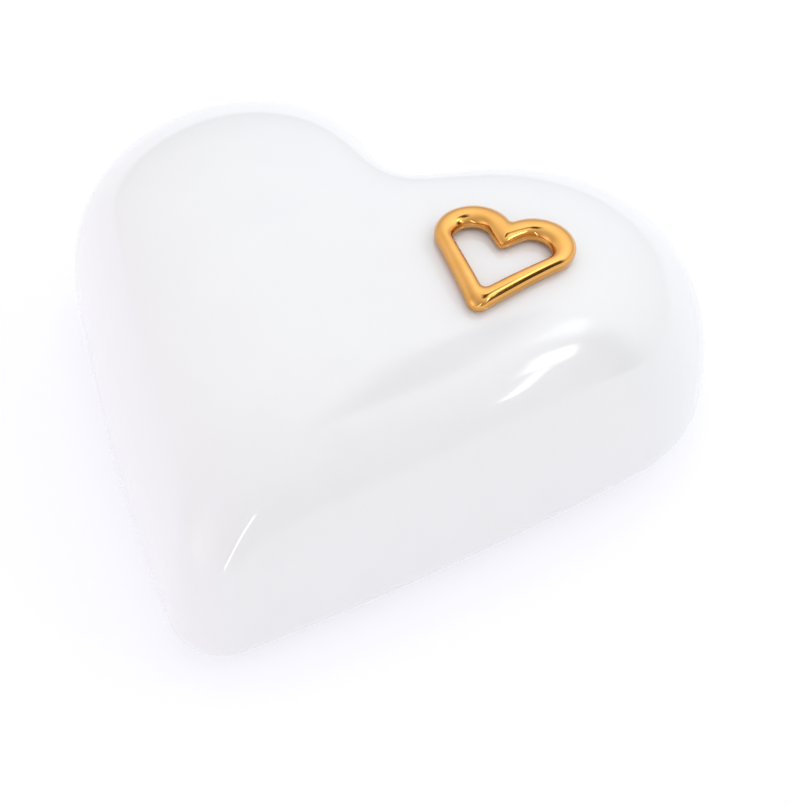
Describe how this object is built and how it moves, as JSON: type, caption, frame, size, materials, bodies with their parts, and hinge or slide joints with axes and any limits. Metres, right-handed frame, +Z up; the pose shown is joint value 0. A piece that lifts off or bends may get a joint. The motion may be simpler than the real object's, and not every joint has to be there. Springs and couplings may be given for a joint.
{
  "type": "heart-shaped trinket box",
  "caption": "Puffed heart-shaped ceramic trinket box: a domed lift-off lid with a gold open-heart emblem over a velvet-lined dish with ring rolls and dividers.",
  "frame": {"origin": "under the middle of the box's bounding box, on the surface it stands on", "axes": "+X runs across the two lobes and is the longest extent; +Y runs from the heart's tip towards its lobes; +Z is up and is the shortest extent"},
  "size_m": [0.183, 0.1756, 0.0725],
  "materials": {
    "glaze": "high-gloss white glaze",
    "gold": "polished gold plate",
    "foam": "adhesive foam",
    "silicone": "milky silicone",
    "velvet": "cream velvet",
    "felt": "pressed felt"
  },
  "bodies": {
    "base": {"base_dish": "glaze", "rim_ring": "silicone", "floor_pad": "velvet", "wall_lining": "velvet", "ring_roll_1": "velvet", "ring_roll_2": "velvet", "ring_roll_3": "velvet", "ring_roll_4": "velvet", "ring_roll_5": "velvet", "divider_long": "velvet", "divider_cross": "velvet", "foot_1": "felt", "foot_2": "felt", "foot_3": "felt", "foot_4": "felt", "foot_5": "felt"},
    "lid": {"lid_shell": "glaze", "heart_emblem": "gold", "emblem_pad_1": "foam", "emblem_pad_2": "foam", "emblem_pad_3": "foam"}
  },
  "joints": [
    {"name": "lid_lift", "type": "slide", "parent": "base", "child": "lid", "axis": [0, 0, 1], "range_m": [0, 0.12]}
  ]
}
